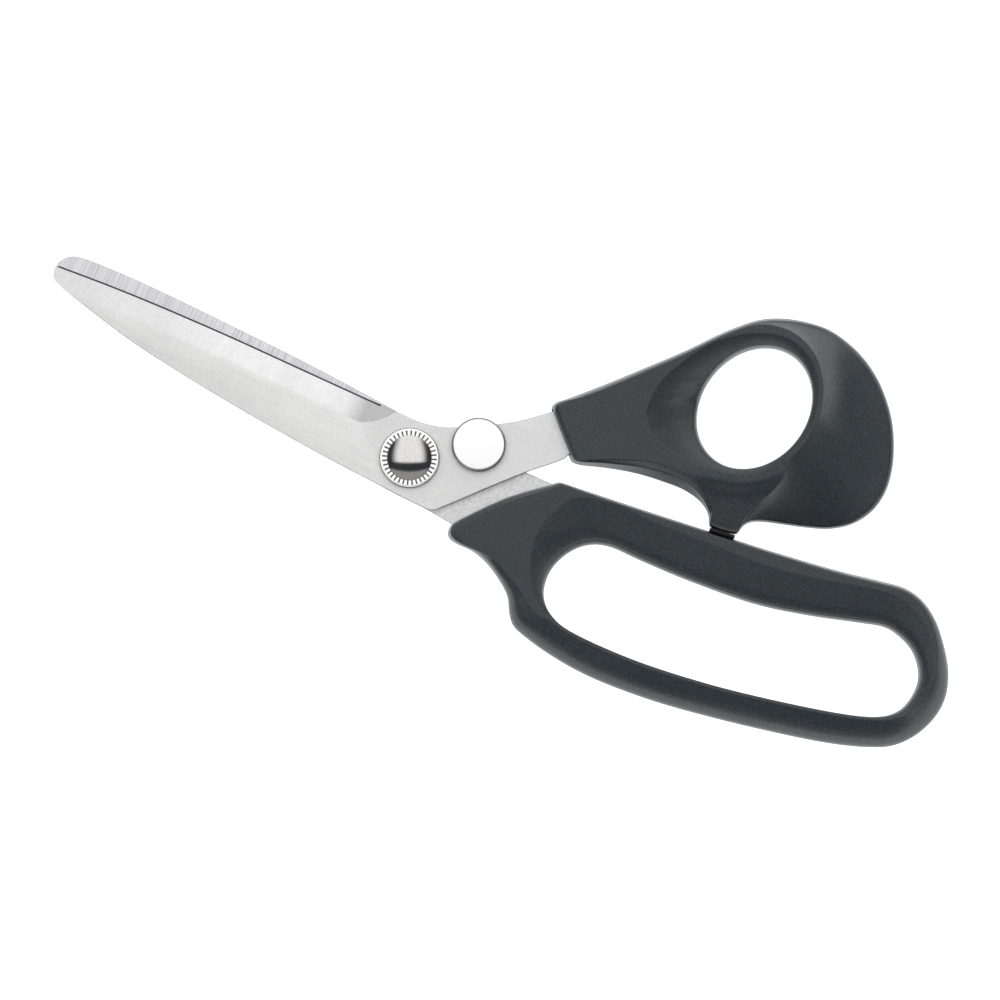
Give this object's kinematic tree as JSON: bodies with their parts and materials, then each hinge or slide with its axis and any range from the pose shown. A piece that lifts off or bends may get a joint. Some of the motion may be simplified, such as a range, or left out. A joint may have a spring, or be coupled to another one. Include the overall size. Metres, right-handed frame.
{
  "type": "bent-handle shears",
  "caption": "Right-handed bent-handle shears: straight blades on a tension-dial pivot, moulded thumb ring and four-finger loop.",
  "frame": {"origin": "on the pivot axis at the resting plane, at the back of the pivot bolt's head", "axes": "+X from the blade tips to the handles along the closed cutting edge, +Y towards the thumb handle, +Z out of the front face, which carries the tension dial"},
  "size_m": [0.2513, 0.1055, 0.0142],
  "materials": {
    "blade_steel": "fine ground and brushed, with a brighter bevel",
    "polished_steel": "polished",
    "plain_steel": "plain machined steel",
    "bush_bronze": "plain bronze",
    "washer_nylon": "natural nylon",
    "handle_plastic": "satin black moulded plastic with a fine grain",
    "stop_rubber": "matt black rubber"
  },
  "bodies": {
    "finger_half": {"rear_blade": "blade_steel", "finger_handle": "handle_plastic", "pivot_bolt": "plain_steel", "spring_washer": "plain_steel", "blade_washer": "washer_nylon"},
    "thumb_half": {"front_blade": "blade_steel", "thumb_handle": "handle_plastic", "pivot_bush": "bush_bronze", "guide_rivet": "polished_steel", "guide_back_disc": "polished_steel", "stop_pad": "stop_rubber"},
    "tension_dial": {"tension_nut": "polished_steel", "nut_cap": "polished_steel", "dial_washer": "plain_steel"}
  },
  "joints": [
    {"name": "blade_pivot", "type": "hinge", "parent": "finger_half", "child": "thumb_half", "pos_m": [0, 0, 0.0065], "axis": [0, 0, 1], "range_deg": [0, 95]},
    {"name": "tension_adjust", "type": "hinge", "parent": "finger_half", "child": "tension_dial", "pos_m": [0, 0, 0.0108], "axis": [0, 0, 1], "range_deg": [-180, 180]}
  ]
}
